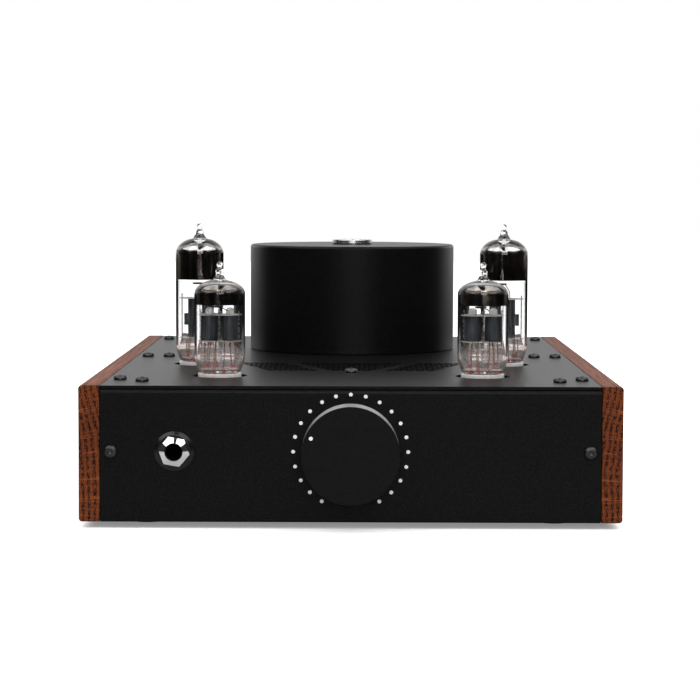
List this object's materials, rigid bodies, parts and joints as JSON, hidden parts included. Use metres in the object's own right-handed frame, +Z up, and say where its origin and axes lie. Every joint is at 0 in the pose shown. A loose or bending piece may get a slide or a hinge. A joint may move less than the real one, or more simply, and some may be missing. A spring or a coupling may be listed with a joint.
{
  "type": "tube amplifier",
  "caption": "Desktop valve headphone amplifier: black steel case between oak sides, noval valves and a round transformer cover on top, volume knob and jack in front.",
  "frame": {"origin": "on the table, under the middle of the whole part", "axes": "+Z up; the front panel faces -Y, so +Y runs from the front to the back; +X is to the right as seen from the front"},
  "size_m": [0.215, 0.319, 0.1187],
  "materials": {
    "black_paint": "fine satin powder coat",
    "black_anodised": "bead-blasted, black anodised",
    "black_steel": "black oxide",
    "oak": "stained, satin oil",
    "zinc_steel": "bright zinc",
    "stainless_steel": "turned",
    "chrome": "polished",
    "rubber": "matte",
    "black_plastic": "fine moulded texture",
    "gold_plate": "gold plated",
    "circuit_board": "solder mask",
    "capacitor_sleeve": "shrunk sleeve",
    "copper_winding": "enamelled wire under clear tape",
    "valve_glass": "clear blown glass",
    "electrode_metal": "carbonised nickel",
    "white_ceramic": "glazed",
    "mica": "frosted sheet",
    "getter_mirror": "deposited metal film inside the glass",
    "copper_wire": "drawn",
    "nickel_wire": "drawn",
    "red_bead": "copper oxide in glass",
    "white_print": "printed ink"
  },
  "bodies": {
    "case": {"top_plate": "black_paint", "base_tray": "black_paint", "front_panel": "black_paint", "rear_panel": "black_paint", "transformer_cover": "black_paint", "front_screw_left": "black_steel", "front_screw_right": "black_steel", "lid_screw_left_1": "black_steel", "lid_screw_left_2": "black_steel", "lid_screw_left_3": "black_steel", "lid_screw_right_1": "black_steel", "lid_screw_right_2": "black_steel", "lid_screw_right_3": "black_steel", "board_screw_left_1": "black_steel", "board_screw_left_2": "black_steel", "board_screw_right_1": "black_steel", "board_screw_right_2": "black_steel", "board_screw_middle": "black_steel", "left_side_panel": "oak", "right_side_panel": "oak", "left_side_frame": "zinc_steel", "right_side_frame": "zinc_steel", "volume_control": "zinc_steel", "volume_nut": "zinc_steel", "transformer_bolt": "stainless_steel", "transformer_washer": "stainless_steel", "jack_nut": "chrome", "foot_front_left": "rubber", "foot_front_right": "rubber", "foot_rear_left": "rubber", "foot_rear_right": "rubber", "headphone_jack": "black_plastic", "jack_bezel": "black_plastic", "mains_inlet": "black_plastic", "switch_frame": "black_plastic", "input_sockets": "gold_plate", "output_sockets": "gold_plate", "main_board": "circuit_board", "power_board": "circuit_board", "filter_capacitor_left": "capacitor_sleeve", "filter_capacitor_right": "capacitor_sleeve", "output_capacitor_left": "capacitor_sleeve", "output_capacitor_right": "capacitor_sleeve", "transformer_core": "copper_winding", "valve_front_left_socket": "white_ceramic", "valve_front_right_socket": "white_ceramic", "valve_rear_left_socket": "white_ceramic", "valve_rear_right_socket": "white_ceramic"},
    "volume_rotor": {"volume_knob": "black_anodised", "volume_shaft": "zinc_steel"},
    "power_rocker": {"switch_rocker": "black_plastic"},
    "fuse_holder": {"fuse_drawer": "black_plastic"},
    "valve_front_left": {"valve_front_left_glass": "valve_glass", "valve_front_left_mount": "electrode_metal"},
    "valve_front_right": {"valve_front_right_glass": "valve_glass", "valve_front_right_mount": "electrode_metal"},
    "valve_rear_left": {"valve_rear_left_glass": "valve_glass", "valve_rear_left_mount": "electrode_metal"},
    "valve_rear_right": {"valve_rear_right_glass": "valve_glass", "valve_rear_right_mount": "electrode_metal"}
  },
  "joints": [
    {"name": "volume_turn", "type": "hinge", "parent": "case", "child": "volume_rotor", "pos_m": [0, -0.14495, 0.0307], "axis": [0, 1, 0], "range_deg": [-83.8, 216.2]},
    {"name": "power_rock", "type": "hinge", "parent": "case", "child": "power_rocker", "pos_m": [0.024, 0.14785, 0.0296], "axis": [-1, 0, 0], "range_deg": [0, 20]},
    {"name": "fuse_slide", "type": "slide", "parent": "case", "child": "fuse_holder", "axis": [0, 1, 0], "range_m": [0, 0.016]},
    {"name": "valve_front_left_pull", "type": "slide", "parent": "case", "child": "valve_front_left", "axis": [0, 0, 1], "range_m": [0, 0.025]},
    {"name": "valve_front_right_pull", "type": "slide", "parent": "case", "child": "valve_front_right", "axis": [0, 0, 1], "range_m": [0, 0.025]},
    {"name": "valve_rear_left_pull", "type": "slide", "parent": "case", "child": "valve_rear_left", "axis": [0, 0, 1], "range_m": [0, 0.025]},
    {"name": "valve_rear_right_pull", "type": "slide", "parent": "case", "child": "valve_rear_right", "axis": [0, 0, 1], "range_m": [0, 0.025]}
  ]
}
